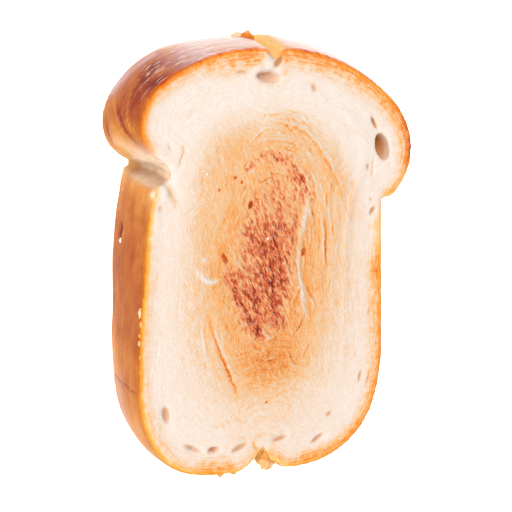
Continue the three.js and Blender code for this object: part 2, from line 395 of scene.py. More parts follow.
SCORCHED_OVALS = named(OVAL, [
    ("whole patch", -3, 2, 80, 36, 85, 0.42, 0.55),
    ("left edge", -17.5, -8, 26, 8, 117, 0.48, 0.9),
    ("left lean", -11, -14, 38, 13, 117, 0.44, 0.8),
    ("middle lean", -3.5, -3, 50, 19, 112, 0.36, 0.9),
    ("right lean", 0.8, -4, 32, 13, 104, 0.34, 0.9),
    ("low middle", -3, -16, 24, 14, 112, 0.28, 0.9),
    ("low end", -8.5, -24, 22, 9, 138, 0.48, 0.9),
    ("low right", 1.5, -22.5, 16, 9, 150, 0.46, 0.9),
    ("waist", 0, 9, 28, 14, 100, 0.32, 0.9),
    ("upper arc", 9.5, 25, 34, 13, 118, 0.42, 0.9),
    ("top streak", -0.5, 34.5, 20, 7, -8, 0.42, 0.9),
    ("top left streak", -10.5, 32.5, 18, 6, 36, 0.35, 0.9),
])
print("toasted ovals:", len(TOASTED_OVALS), "and scorched ovals:", len(SCORCHED_OVALS))

# %% Brown the face
BACK_SHARE = 0.6
SCORCH_SHOWS = 0.4


def oval_reach(oval):
    """0 in an oval's middle and 1 on its edge."""
    turn = math.radians(oval["turn"])
    along = (x - oval["x"]) * math.cos(turn) + (y - oval["y"]) * math.sin(turn)
    across = (y - oval["y"]) * math.cos(turn) - (x - oval["x"]) * math.sin(turn)
    return np.hypot(along / (oval["long"] / 2), across / (oval["wide"] / 2))


def joined(ovals):
    """Soft ovals laid over each other, so that two half tones make a darker one but never pass full."""
    clear = np.ones(len(x))
    for oval in ovals:
        clear *= 1 - oval["level"] * smooth_step(1.0, 1.0 - oval["edge"], oval_reach(oval))
    return 1 - clear


side_share = np.where(front, 1.0, BACK_SHARE)
toasted = joined(TOASTED_OVALS) * side_share
scorched = joined(SCORCHED_OVALS) * side_share
print("scorched share of the face:", round(float((scorched > SCORCH_SHOWS)[face_up > 0.5].mean()), 3))

# %% [markdown]
# The slice is a little rough everywhere. Noise that is stretched along the flow gives the crumb its grain,
# noise that is stretched along the lean of the scorch gives the crisp, flaky patch, and noise that changes
# fast only with height gives the crust its long streaks.

# %% Roughen the surface
SCORCH_LEAN = math.radians(-62)
FLOW_GRAIN = (3.0, 3.0, 0.9)
SCORCH_GRAIN = (2.6, 1.25, 1.0)
CRUST_STREAK = (11.0, 11.0, 1.6)
CRUMB_ROUGHNESS = 0.04
SCORCH_ROUGHNESS = 0.35
CRUST_ROUGHNESS = 0.12
CRISPING = (0.05, 0.5)
GRAIN_FADE = 0.9
GRAIN_STEP = 2.1
GRAIN_LAYERS = 3


def turned(points, angle):
    """Points seen in axes that are turned about Z."""
    along = points[:, 0] * math.cos(angle) + points[:, 1] * math.sin(angle)
    across = points[:, 1] * math.cos(angle) - points[:, 0] * math.sin(angle)
    return np.stack([along, across, points[:, 2]], axis=1)


def grain(points, size):
    """Soft noise, about -1 to 1, with grains of a given size along each axis and finer layers on top."""
    scaled = (points / np.array(size)).tolist()
    return np.array([noise.fractal(point, GRAIN_FADE, GRAIN_STEP, GRAIN_LAYERS) for point in scaled])


crumb_grain = grain(flow, FLOW_GRAIN)
scorch_grain = grain(turned(places, SCORCH_LEAN), SCORCH_GRAIN)
crust_streak = grain(places, CRUST_STREAK)
crisp = smooth_step(*CRISPING, scorched)
relief = CRUMB_ROUGHNESS * crumb_grain * (1 - crust) * (1 - crisp)
relief -= SCORCH_ROUGHNESS * scorch_grain * crisp * (1 - crust)
pale = np.zeros(len(x))
dark = np.zeros(len(x))
print("grain from", round(scorch_grain.min(), 2), "to", round(scorch_grain.max(), 2))

# %% [markdown]
# Where the rolled layers come apart they leave thin pale lips with a shadow beside them. The shadow is
# painted into the colour of the trough, and the pale crest is partly the crumb's own colour and partly a
# painted highlight. Creases and slits, with a height below zero, are darkened by painted shade. Each is a
# stroke through a few points, rounded off, with a width, a height and a tint. A point's distance to the
# stroke gives both its relief and its colour, and a little noise in the places keeps the strokes from being
# neat.

# %% List the lips and creases
# points, width and height in mm, paling of the crest, partly a painted highlight and below zero painted shade
# in a crease or slit, darkening of the trough, a painted shadow, and its side, which is 1 for the left of the
# line as it runs and -1 for the right
STROKE = ("name", "points", "width", "height", "pale", "dark", "side")
STROKES = named(STROKE, [
    ("outer lip", [(-5, 47), (3, 46), (10, 43.5), (16, 37.5), (20, 32), (23, 27.5), (26, 22)],
     0.45, 0.3, 0.3, 0.3, -1),
    ("inner lip", [(-9, 40), (-2, 41), (4, 39.5), (9, 37)], 0.4, 0.25, 0.25, 0.15, -1),
    ("arc by the scorch", [(2, 35), (7, 31.5), (10.5, 27), (12.5, 22.5)], 0.45, 0.25, 0.35, 0.3, -1),
    ("second arc", [(12, 30), (14.5, 25), (15.5, 19.5)], 0.45, 0.25, 0.35, 0.3, -1),
    ("long ridge top", [(10.5, 24), (11.7, 20), (11, 15.5), (9.6, 10), (8.8, 4)], 1.2, 0.3, 0.5, 0.1, -1),
    ("long ridge foot", [(8.8, 4), (8.6, -4), (10.2, -11), (11.6, -17), (12.5, -22)],
     1.0, 0.25, 0.55, 0.1, 1),
    ("ridge branch", [(11, -10), (13, -13.5), (15, -16), (16, -19)], 0.4, 0.3, 0.4, 0.25, 1),
    ("right flap", [(17.6, 12), (18.2, 7), (18.4, 2), (19.3, -4)], 0.5, 0.4, 0.4, 0.5, 1),
    ("far right lip", [(20, 19), (20.4, 14), (21.5, 9)], 0.4, 0.25, 0.35, 0.3, 1),
    ("lower left crease", [(-25.5, -18), (-22.5, -27), (-19, -35), (-15.5, -42), (-13, -48)],
     0.32, -0.35, -0.7, 0.1, -1),
    ("crease lip", [(-23.5, -22), (-21.3, -27), (-17.8, -35), (-14, -42)], 0.45, 0.15, 0.3, 0.0, 1),
    ("lower left lip", [(-28, -19), (-27.5, -26), (-25.5, -33)], 0.5, 0.2, 0.25, 0.2, 1),
    ("left flake", [(-17.2, 4), (-15.6, 0), (-13, -3.4)], 0.4, 0.35, 0.6, 0.2, 1),
    ("right flake", [(1.8, 1), (4, -3.5), (6, -9)], 0.4, 0.35, 0.6, 0.2, 1),
    ("low flake", [(-5, -24), (-3.5, -26.5), (-1, -28)], 0.4, 0.35, 0.6, 0.2, 1),
    ("lowest flake", [(5, -33), (7, -37), (9.5, -39.5)], 0.5, 0.3, 0.35, 0.3, 1),
    ("curl of the blister", [(-30, -2.5), (-27.8, -5.6), (-25, -6.8), (-22, -6.2)], 0.8, 0.25, 0.6, 0.0, 1),
    ("pale dash", [(-26.5, 19.8), (-23, 19.2), (-19.5, 19.4)], 1.2, 0.08, 0.04, 0.0, 1),
    ("slit under the right hole", [(37.8, 33.7), (37.6, 30.2), (37.3, 26.7)], 0.35, -0.4, -0.4, 0.0, 1),
    ("crease under the notch", [(-41.7, 26.8), (-41, 25), (-39.6, 22.6), (-38.2, 20.2)],
     0.9, -0.5, -0.44, 0.0, 1),
    ("short slit by the cap", [(-41.7, 39.3), (-41.2, 37.9), (-40.3, 36.6)], 0.4, -0.4, -0.5, 0.0, 1),
    ("bent slit by the cap", [(-36.7, 39.2), (-35.8, 36.9), (-36.3, 35.5), (-37.8, 32.1)],
     0.4, -0.4, -0.5, 0.0, 1),
    ("crease above the cleft", [(-7.1, -64.3), (-5.6, -66.5), (-3.9, -67.8)], 0.4, -0.4, -0.4, 0.0, 1),
    ("pale spot", [(-28.4, 1.3), (-28, 0.9), (-27.6, 0.5)], 0.9, 0.1, 0.5, 0.0, 1),
])
print("lips and creases:", len(STROKES))

# %% Draw the lips and creases of the layers
ROUNDING_PASSES = 2
CORNER_CUT = 0.25
END_SHARE = 0.02
TROUGH_SHARE = 0.6
TROUGH_OFFSET = 1.7
STROKE_REACH = 4.0
WOBBLE = 0.35
WOBBLE_SIZE = (2.2, 2.2, 2.2)
WOBBLE_SHIFTS = (0, 40)


def rounded(points):
    """Cuts the corners of a line of points, a few times over."""
    line = np.array(points, dtype=float)
    for _ in range(ROUNDING_PASSES):
        near = (1 - CORNER_CUT) * line[:-1] + CORNER_CUT * line[1:]
        far = CORNER_CUT * line[:-1] + (1 - CORNER_CUT) * line[1:]
        line = np.concatenate([line[:1], np.stack([near, far], axis=1).reshape(-1, line.shape[1]), line[-1:]])
    return line


def stroke_gap(points, line):
    """For each point: its distance to a line, the side it lies on and its share of the way along."""
    gap = np.full(len(points), np.inf)
    side = np.zeros(len(points))
    share = np.zeros(len(points))
    lengths = np.linalg.norm(np.diff(line, axis=0), axis=1)
    passed = np.concatenate([[0], np.cumsum(lengths)]) / lengths.sum()
    for i, step in enumerate(np.diff(line, axis=0)):
        offset = points - line[i]
        t = np.clip(offset @ step / (step @ step), 0, 1)
        distance = np.linalg.norm(offset - t[:, None] * step, axis=1)
        nearer = distance < gap
        gap[nearer] = distance[nearer]
        side[nearer] = np.sign(step[0] * offset[:, 1] - step[1] * offset[:, 0])[nearer]
        share[nearer] = (passed[i] + t * (passed[i + 1] - passed[i]))[nearer]
    return gap, side, share


def draw_stroke(stroke, points, where):
    """Adds one stroke to the relief and the tints, where a mask lets it."""
    line = rounded(stroke["points"])
    low, high = line.min(axis=0) - STROKE_REACH, line.max(axis=0) + STROKE_REACH
    near = np.flatnonzero(((points > low) & (points < high)).all(axis=1) & (where > 0))
    gap, side, share = stroke_gap(points[near], line)
    strength = np.sqrt(np.sin(math.pi * np.clip(share, END_SHARE, 1 - END_SHARE))) * where[near]
    crest = np.exp(-((gap / stroke["width"]) ** 2)) * strength
    beside = gap * side * stroke["side"] / stroke["width"] - TROUGH_OFFSET
    trough = np.exp(-(beside ** 2)) * strength
    relief[near] += stroke["height"] * crest - TROUGH_SHARE * abs(stroke["height"]) * trough
    # the crest's paling is partly a painted highlight and below zero painted shade in a crease; the trough's
    # darkening is a painted shadow
    pale[near] += stroke["pale"] * crest
    dark[near] += stroke["dark"] * trough


wobble = np.stack([grain(places + shift, WOBBLE_SIZE) for shift in WOBBLE_SHIFTS], axis=1) * WOBBLE
wobbly_places = places[:, :2] + wobble
for stroke in STROKES:
    draw_stroke(stroke, wobbly_places, face_up)
print("points that the strokes pale:", int((pale > 0).sum()))

# %% [markdown]
# Between the large lips are many small ones, too many to place by hand. They follow rings round the middle,
# more of them on the right and at the top, where the layers tore. A seeded draw gives the same ones each
# time. Short slits nearer the rim are the pores that the rolling drew out, darkened by painted shade. The
# back gets its own, with half as many lips.

# %% Scatter small lips and slits
SEED = 11
SMALL_LIPS = 70
BACK_LIPS = 35
SLITS = 100
RING_CENTRE = np.array([-2.0, 2.0])
RING_RADII = np.array([25.0, 47.0])
ARC_POINTS = 4
LIP_ANGLE = math.radians(15)
LIP_SPREAD = math.radians(65)
# the least and the most of each measure, with reach and drift as shares of the ring's radii
LIP_RANGES = {
    "reach": (0.5, 1.15), "length": (2, 6), "drift": (-0.03, 0.03),
    "width": (0.28, 0.4), "height": (0.1, 0.25), "pale": (0.15, 0.35), "dark": (0.15, 0.4),
}
# a slit's tint is painted shade in the slit
SLIT_RANGES = {
    "reach": (1.1, 1.75), "length": (1, 4),
    "width": (0.25, 0.45), "depth": (0.05, 0.15), "tint": (0.08, 0.25),
}
draw = np.random.default_rng(SEED)


def ring_arc(angle, reach, length, drift=0.0):
    """A few points along a ring round the middle, drifting in or out on the way."""
    radii = RING_RADII * reach
    turn = length / np.linalg.norm(radii * np.array([math.sin(angle), math.cos(angle)]))
    steps = np.linspace(-0.5, 0.5, ARC_POINTS)
    angles = angle + turn * steps
    spread = 1 + drift * steps
    return RING_CENTRE + radii * np.stack([np.cos(angles) * spread, np.sin(angles) * spread], axis=1)


def drawn(ranges, *keys):
    """One draw from the range of each key, in the order of the keys."""
    return [draw.uniform(*ranges[key]) for key in keys]


def small_lip():
    points = ring_arc(draw.normal(LIP_ANGLE, LIP_SPREAD), *drawn(LIP_RANGES, "reach", "length", "drift"))
    width, height, pale_by, dark_by = drawn(LIP_RANGES, "width", "height", "pale", "dark")
    return {"points": points, "width": width, "height": height, "pale": pale_by, "dark": dark_by,
            "side": draw.choice([-1, 1])}


def slit():
    points = ring_arc(draw.uniform(0, 2 * math.pi), *drawn(SLIT_RANGES, "reach", "length"))
    width, depth_in, tint = drawn(SLIT_RANGES, "width", "depth", "tint")
    return {"points": points, "width": width, "height": -depth_in, "pale": -tint, "dark": 0.0, "side": 1}


for stroke in [small_lip() for _ in range(SMALL_LIPS)] + [slit() for _ in range(SLITS)]:
    draw_stroke(stroke, wobbly_places, face_up)
back_face = (1 - front) * (1 - crust)
for stroke in [small_lip() for _ in range(BACK_LIPS)] + [slit() for _ in range(SLITS)]:
    draw_stroke(stroke, wobbly_places, back_face)
print("small lips and slits on both faces:", SMALL_LIPS + BACK_LIPS + 2 * SLITS)

# %% [markdown]
# The large air holes are in the solid, but the even skin has softened them. Each is pressed in again with a
# steep edge, deeper towards one end, and its inside gets a painted shade that is strongest towards that end
# and fades out at the edge. Small pores are made the same way, and burnt specks are pressed in and darkened.

# %% List the air holes and burnt specks
# place, size and depth in mm, turn in degrees, and for a hole the strength of its painted shade, for a speck
# how much it is darkened
HOLE = ("name", "x", "y", "long", "wide", "turn", "deep", "tint")
SPECK = ("name", "x", "y", "long", "wide", "turn", "deep", "dark")
HOLES = named(HOLE, [
    ("under the split", -6.2, 61.2, 10, 4, -8, 0.14, 0.52),
    ("beside it", -16, 62.4, 4, 1.4, 3, 0.21, 0.5),
    ("right lobe", 41.5, 37.2, 10, 5.4, 112, 0.84, 0.88),
    ("right slit", 37.4, 45.8, 6, 1.3, 122, 0.56, 0.8),
    ("right pore", 35.5, 30.5, 2.6, 1.4, 100, 0.35, 0.6),
    ("crown pore", 12, 57.5, 3.6, 2.2, 110, 0.28, 0.5),
    ("left wall pore", -44, 18.5, 2.6, 2, 90, 0.21, 0.4),
    ("lower left", -40, -50.6, 6.5, 2.4, 102, 0.35, 0.6),
    ("foot left outer", -30, -63.6, 8, 1.8, -28, 0.21, 0.52),
    ("foot left", -22, -65.2, 4.6, 2.2, 0, 0.35, 0.68),
    ("foot left inner", -12, -65.8, 7, 2, 22, 0.28, 0.6),
    ("foot right inner", 4.1, -64.6, 6, 1.7, 12, 0.21, 0.6),
    ("foot right", 19.6, -66.6, 6.5, 1.8, 26, 0.28, 0.6),
    ("above foot right", 24, -58, 2.8, 1.8, 40, 0.28, 0.6),
    ("lower right", 36.5, -45.5, 4.6, 1.5, 78, 0.28, 0.6),
    ("lower right outer", 40, -47, 5, 1.0, 75, 0.21, 0.5),
    ("right edge", 39, -22, 4, 1.0, 88, 0.21, 0.5),
    ("neck hole", 38.4, 15.0, 3.8, 1.8, 55, 0.7, 0.7),
    ("neck pore", 37.4, 19.0, 1.8, 1.0, 50, 0.21, 0.5),
    ("bottom of the split", -2.2, 66.0, 5.5, 2.8, 55, 0.42, 0.8),
])
BURNT_SPECKS = named(SPECK, [
    ("burnt dent", -11, 18.7, 2.4, 1.5, 80, 0.25, 0.9),
    ("right dent", 10.5, 1.5, 2.6, 1.6, 80, 0.25, 0.55),
    ("upper left speck", -22.8, 24, 0.9, 0.9, 0, 0.1, 0.8),
    ("left speck", -17, 28, 1.1, 1.0, 0, 0.1, 0.6),
    ("second left speck", -14.5, 26.5, 1.2, 1.0, 0, 0.1, 0.6),
    ("patch end", -20, 1, 3.6, 1.4, 116, 0.15, 0.75),
    ("low speck", -2, -50.5, 1.4, 1.1, 0, 0.1, 0.6),
])
print("air holes:", len(HOLES), "and burnt specks:", len(BURNT_SPECKS))

# %% Press in the air holes
HOLE_EDGE = (1.12, 0.72)
TINT_EDGE = (1.2, 0.5)
SPECK_EDGE = (1.25, 0.9)
STEEP_SIDE = math.radians(125)
SHALLOW_SHARE = 0.5
SHALLOW_TINT = 0.3

hole_shade = np.zeros(len(x))
for hole in HOLES:
    hole_reach = oval_reach(hole)
    to_steep_side = (x - hole["x"]) * math.cos(STEEP_SIDE) + (y - hole["y"]) * math.sin(STEEP_SIDE)
    steepness = np.clip(0.5 + to_steep_side / hole["long"], 0, 1) * (1 - SHALLOW_SHARE) + SHALLOW_SHARE
    relief -= hole["deep"] * steepness * smooth_step(*HOLE_EDGE, hole_reach) * face_up
    # the tint is a painted shade in the hole, strongest towards the steep end and fading out at its edge
    tinted = hole["tint"] * (SHALLOW_TINT + steepness) * smooth_step(*TINT_EDGE, hole_reach) * front
    hole_shade = np.maximum(hole_shade, np.minimum(tinted, 1))
for speck in BURNT_SPECKS:
    inside = smooth_step(*SPECK_EDGE, oval_reach(speck)) * face_up
    relief -= speck["deep"] * inside
    dark += speck["dark"] * inside
print("hollow points:", int((hole_shade > 0).sum()))

# %% [markdown]
# The crust on the walls has folds where the risen cap rolled over, and a few cracks, darkened by painted
# shade, with painted highlights along the long fold and on the cap. The left wall shows them, so the points
# of their strokes say how far up the slice and how high off the floor they run.

# %% Fold and crack the crust
# folds and cracks are darkened by painted shade; the pale lines by the long fold and on the cap are painted
# highlights
WALL_STROKES = named(STROKE, [
    ("long fold under the cap", [(51, 10), (47, 13.7), (42, 18), (37.6, 23.5)], 0.85, -0.5, -0.4, 0.1, 1),
    ("short fold under the cap", [(47, 4.2), (44, 5), (41, 5.2), (37, 7.5)], 0.85, -0.5, -0.45, 0.1, 1),
    ("pale edge of the long fold", [(53, 7), (48, 11.2), (43, 15.2), (39, 20)], 0.6, 0.2, 0.34, 0.0, 1),
    ("pale streak on the cap", [(56, 15), (52, 16.5), (47, 18), (43, 21)], 0.35, 0.1, 0.36, 0.0, 1),
    ("crack through the wall", [(-41.1, -1), (-41, 6), (-41.9, 12), (-41.6, 17), (-42.4, 24)],
     0.34, -0.35, -0.6, 0.0, 1),
    ("upper crack", [(12, 8.4), (9.8, 9.8), (8.4, 8.2), (6.6, 9.4)], 0.5, -0.6, -0.8, 0.2, 1),
])
LEFT_WALL_X = -25
left_wall = crust * (x < LEFT_WALL_X)
wall_places = places[:, 1:] + wobble
for stroke in WALL_STROKES:
    draw_stroke(stroke, wall_places, left_wall)
print("folds and cracks:", len(WALL_STROKES))

# %% [markdown]
# Where the loaf tore, there is no crust: bare crumb shows, almost white. The tears are the notch under the
# left of the cap, the split in the crown, the cleft in the foot and the nick under the right of the cap. Each
# is bare near the line at its bottom and takes on crust further out. A shade level on each bank sets the
# bare crumb's tone: low is cream and peach, the middle is a painted grey-tan shade of the recess, deepest
# near the line, and the top is gold.

# %% List the tears and the lumps beside them
TEARS = [
    # bare, browned, shade and rim are pairs for the left and the right bank, looking out along the tear.
    # fades holds the shares of the depth where bareness has gone and where it starts to go, and skin the
    # distances at which skin that looks away from the tear is still crust and is bare as well.
    {"name": "left notch", "face": (-40.5, 24.5), "back": (-43.9, 31.0), "outward": (-0.8, 0.6),
     "bare": (9.0, 7.0), "browned": (13.0, 18.0), "shade": (0.62, 0.2), "fades": (0.95, 0.5),
     "skin": (7.0, 2.0), "rim": ((3.0, 6.0), (9.0, 15.0))},
    {"name": "crown split", "face": (-4.1, 64.2), "back": (-2.1, 71.1), "outward": (0.0, 1.0),
     "bare": (1.5, 6.0), "browned": (6.5, 11.0), "shade": (0.0, 1.24), "fades": (1.3, 0.8),
     "skin": (4.0, 2.0), "rim": ((2.0, 7.0), (2.0, 7.0))},
    {"name": "foot cleft", "face": (-2.3, -67.3), "back": (-2.9, -69.9), "outward": (0.0, -1.0),
     "bare": (6.0, 0.5), "browned": (10.0, 4.0), "shade": (1.3, 1.3), "fades": (1.3, 0.8),
     "skin": (4.0, 2.0), "rim": ((2.0, 5.0), (2.0, 5.0))},
    {"name": "right nick", "face": (38.1, 15.0), "back": (40.1, 19.6), "outward": (0.8, 0.6),
     "bare": (2.0, 2.0), "browned": (8.0, 6.0), "shade": (0.2, 0.2), "fades": (1.1, 0.6),
     "skin": (4.0, 2.0), "rim": ((3.0, 9.0), (1.5, 4.5))},
]
LUMPS = [
    {"name": "outer tip by the notch", "place": (-45.9, 23.0, 24.4), "size": 1.5, "height": 0.6},
    {"name": "inner tip by the notch", "place": (-42.6, 23.4, 24.4), "size": 1.8, "height": 0.9},
    {"name": "tip of the left lobe", "place": (-7.4, 68.6, 24.8), "size": 2.8, "height": 0.4},
    {"name": "filled end of the top hole", "place": (-10.2, 62.6, 24.0), "size": 1.8, "height": 0.9},
    {"name": "filled back of the top hole", "place": (-7.2, 63.0, 23.6), "size": 2.0, "height": 0.8},
]
print("tears:", ", ".join(tear["name"] for tear in TEARS))

# %% Bare the crumb in the tears
SHADE_FADE = 0.4
BANK_BLEND = 0.8
LOOKS_IN = (-0.5, 0.1)
LUMP_PALE = 0.12
TORN_ROUGHNESS = 0.45
TORN_GRAIN = (2.0, 2.0, 2.0)


def of_banks(pair, right):
    """A value for the left bank and one for the right, blended where the banks meet."""
    return pair[0] * (1 - right) + pair[1] * right


def soft_patch(place, size):
    """1 at a place, fading out round it over about this size."""
    return np.exp(-((np.linalg.norm(places - np.array(place), axis=1) / size) ** 2))


depth = np.clip((FACE_Z - z) / FACE_Z, 0, 1)
torn = np.zeros(len(x))
shade = np.zeros(len(x))
away_from_tears = np.ones(len(x))
for tear in TEARS:
    front_end, back_end = np.array([*tear["face"], FACE_Z]), np.array([*tear["back"], 0])
    offset = (places - pulled(front_end + depth[:, None] * (back_end - front_end)))[:, :2]
    gap = np.linalg.norm(offset, axis=1)
    rightward = np.array([tear["outward"][1], -tear["outward"][0]])
    right = smooth_step(-BANK_BLEND, BANK_BLEND, offset @ rightward)
    browned_from, bare_from, deepest = (of_banks(tear[key], right) for key in ("browned", "bare", "shade"))
    towards_line = (slopes[:, :2] @ rightward) * (1 - 2 * right) + (tilt > FLAT_SLOPE)
    looks_in = smooth_step(*LOOKS_IN, towards_line)
    looks_in = np.maximum(looks_in, smooth_step(*tear["skin"], gap))
    bared = smooth_step(browned_from, bare_from, gap) * smooth_step(*tear["fades"], depth) * looks_in
    torn = np.maximum(torn, bared)
    # the shade level gives a painted grey-tan shade of the recess in the middle of its range, deepest near
    # the line, and gold at its top
    shade = np.maximum(shade, deepest * (1 - SHADE_FADE * np.clip(gap / browned_from, 0, 1)) * (bared > 0))
    away_from_tears *= of_banks([smooth_step(*bank, gap) for bank in tear["rim"]], right)
for lump in LUMPS:
    swell = soft_patch(lump["place"], lump["size"])
    relief += lump["height"] * swell
    pale += LUMP_PALE * swell
    torn = np.maximum(torn, swell)
    shade *= 1 - swell
relief += CRUST_ROUGHNESS * crust_streak * crust * (1 - torn)
relief += TORN_ROUGHNESS * grain(places, TORN_GRAIN) * crust * torn
print("torn points:", int((torn > 0.5).sum()))

# %% [markdown]
# The rim is where crust meets crumb. It runs from gold on the left, where the knife left a clean edge, to
# deep orange over the crown and down the right, where the heat caught it. A few named places round the rim
# say how it looks there, and each point takes a mix of the places nearest to it.

# %% List how the rim looks
RIM_PLACES = [
    # name, x, y, how far the crust reaches over the edge, glow from gold to red orange, width of the bright
    # edge, reach of the tint and its strength
    ("left of the cap", -50, 44, 1.0, 0.5, 1.3, 4.5, 0.35),
    ("upper left", -38, 61, 0.6, 0.6, 1.3, 7.0, 0.7),
    ("crown left", -20, 70, 0.2, 0.6, 0.9, 11.0, 0.95),
    ("tip of the left lobe", -9, 71, 0.2, 0.6, 0.9, 10.0, 1.1),
    ("crown right", 10, 71, 0.2, 0.6, 0.9, 10.0, 0.95),
    ("upper right", 34, 62, 0.2, 0.5, 1.5, 10.0, 1.0),
    ("right of the cap", 54, 37, 0.2, 0.95, 2.4, 9.5, 1.15),
    ("under the right of the cap", 47, 22, 0.1, 0.15, 1.1, 7.0, 0.75),
    ("right nick", 42, 17, 0.0, 0.0, 1.2, 4.0, 0.3),
    ("under the right nick", 44.5, 9, 0.0, 0.0, 2.6, 6.0, 0.6),
    ("right wall", 45, -8, 0.1, 0.4, 2.0, 9.0, 0.95),
    ("right foot", 46, -40, 0.1, 0.5, 1.8, 9.0, 0.9),
    ("lower right", 33, -66, 0.1, 0.5, 1.8, 8.0, 0.95),
    ("bottom right", 14, -75, 0.1, 0.46, 1.7, 8.0, 1.02),
    ("right of the cleft", 5, -74, 0.0, 0.05, 1.0, 6.0, 0.48),
    ("left of the cleft", -7, -75, 0.0, 0.05, 1.0, 6.0, 0.48),
    ("bottom left", -20, -75, 0.1, 0.4, 1.5, 9.0, 0.9),
    ("lower left", -40, -62, 0.3, 0.28, 0.8, 8.0, 0.48),
    ("left foot", -50, -35, 0.9, 0.4, 1.0, 7.0, 0.55),
    ("left wall", -48, -5, 1.0, 0.3, 1.0, 7.0, 0.45),
    ("top of the left wall", -45, 19, 0.6, 0.2, 0.8, 2.5, 0.3),
]
print("places round the rim:", len(RIM_PLACES))

# %% Tint the rim
NEAR_PLACE = 2.0
PLACE_POWER = 3
WALL_SIDE_SHARE = 0.6
CRUST_STEP = 0.3
OUTER_GLOW = 0.48
OUTER_WIDTH = 0.9
RIM_BAND = 1.8
RIM_ROUGHNESS = 0.18
RIM_GRAIN = (1.8, 1.8, 1.8)


def rim_look():
    """The rim's overlap, glow, bright width, reach and strength at each point's nearest place on the rim."""
    spots = np.array([place[1:3] for place in RIM_PLACES], dtype=float)
    looks = np.array([place[3:] for place in RIM_PLACES])
    gaps = np.linalg.norm(rim_place[:, None, :2] - spots[None], axis=2)
    weights = 1 / (gaps + NEAR_PLACE) ** PLACE_POWER
    return ((weights @ looks) / weights.sum(axis=1, keepdims=True)).T


overlap, glow, bright_width, reach, strength = rim_look()
on_wall_side = crust > 0.5
past_overlap = np.where(on_wall_side, -rim_gap, rim_gap) - overlap * away_from_tears
width_here = bright_width * np.where(past_overlap > 0, 1, WALL_SIDE_SHARE)
edge = np.exp(-((past_overlap / width_here) ** 2)) * away_from_tears
crust = np.maximum(crust, front * smooth_step(CRUST_STEP, -CRUST_STEP, past_overlap) * away_from_tears)
rim_tint = strength * (1 - smooth_step(0, reach, rim_gap)) * away_from_tears
outer_side = smooth_step(OUTER_WIDTH, -OUTER_WIDTH, past_overlap) * front
glow = glow + OUTER_GLOW * np.minimum(strength, 1) * outer_side
ragged = strength * np.exp(-((rim_gap / RIM_BAND) ** 2)) * away_from_tears * front
relief += RIM_ROUGHNESS * grain(places, RIM_GRAIN) * ragged
print("edge points:", int((edge > 0.5).sum()))

# %% [markdown]
# Crust is not one brown. It is darkest over the left of the cap, golden under it and beside the notch, and
# paler towards the foot. Soft patches with a place, a size and a change of tone are added up. The crown is
# glossy, and a pale painted sheen, a reflection laid into the colour, covers it and runs along two lines at
# the back. Thin painted glints, bright streaks laid into the colour, cross the left shoulder.

# %% Shade the crust
CRUST_BASE = 0.46
CRUST_PATCHES = [
    {"name": "dark shoulder", "place": (-37, 61, 22), "size": 18, "change": 0.38},
    {"name": "dark left of the cap", "place": (-50, 47, 20), "size": 10, "change": 0.2},
    {"name": "golden under the cap", "place": (-50, 36, 14), "size": 11, "change": -0.42},
    {"name": "left shoulder", "place": (-51, 56, 12), "size": 11, "change": 0.04},
    {"name": "golden top of the wall", "place": (-46.5, 30, 1), "size": 6, "change": -0.5},
    {"name": "pale corner of the wall", "place": (-47.3, 22.5, 21), "size": 5.5, "change": -0.2},
    {"name": "brown back of the wall", "place": (-51, 4, 1), "size": 14, "change": 0.08},
    {"name": "lower back of the wall", "place": (-51, -35, 1), "size": 11, "change": -0.2},
    {"name": "brown wall", "place": (-49, -22, 18), "size": 22, "change": 0.12},
    {"name": "pale foot", "place": (-42, -61, 12), "size": 18, "change": -0.22},
    {"name": "crown", "place": (-4, 76, 10), "size": 26, "change": -0.2},
    {"name": "golden wall of the split", "place": (1, 70, 14), "size": 8, "change": -0.12},
    {"name": "golden cleft", "place": (0.5, -73, 18), "size": 9, "change": -0.5},
]
# painted sheens: pale reflections laid into the crust's colour along the back of the shoulder and the lower
# left
SHEENS = [
    {"name": "back of the shoulder", "start": (-51, 56, 3), "end": (-40, 67, 5), "width": 3.8, "share": 1.0},
    {"name": "back of the lower left", "start": (-51, -44, 6), "end": (-43, -65, 8), "width": 7.0,
     "share": 0.5},
]
GLOSS_SLOPES = (0.3, 0.97)
GLOSS_FROM_LEFT = (-45, -26)
CROWN_FROM = (44, 62)
CROWN_GLOSS = 0.82
WALL_GLOSS = 0.03
# the streaked shoulder gets dark blotches in its crust and thin painted glints, bright streaks of highlight
STREAKED_SHOULDER = (-33, 63, 18)
STREAKED_SIZE = 17.0

crust_tone = np.full(len(x), CRUST_BASE)
for patch in CRUST_PATCHES:
    crust_tone += patch["change"] * soft_patch(patch["place"], patch["size"])
on_crown = smooth_step(*CROWN_FROM, y) * smooth_step(*GLOSS_FROM_LEFT, x)
faces_up_the_slice = smooth_step(*GLOSS_SLOPES, slopes[:, 1]) * on_crown
gloss = crust * (WALL_GLOSS + CROWN_GLOSS * faces_up_the_slice) * (1 - torn)
# a pale painted sheen, a reflection laid into the colour, where the crown faces up the slice and along the
# sheens
painted_sheen = faces_up_the_slice
for sheen in SHEENS:
    gap = line_gap(places, np.array(sheen["start"]), np.array(sheen["end"]))
    painted_sheen = np.maximum(painted_sheen, sheen["share"] * np.exp(-((gap / sheen["width"]) ** 2)))
painted_sheen = painted_sheen * crust * (1 - torn)
streaked = soft_patch(STREAKED_SHOULDER, STREAKED_SIZE)
print("crust tone from", round(crust_tone.min(), 2), "to", round(crust_tone.max(), 2))

# %% [markdown]
# All the relief so far is one number for each point, in millimetres. It could be left to bumps in the
# material, but real relief also shows along the outline and in the mesh itself. So each point moves out along
# its own slope, and none goes below the surface that the slice lies on.

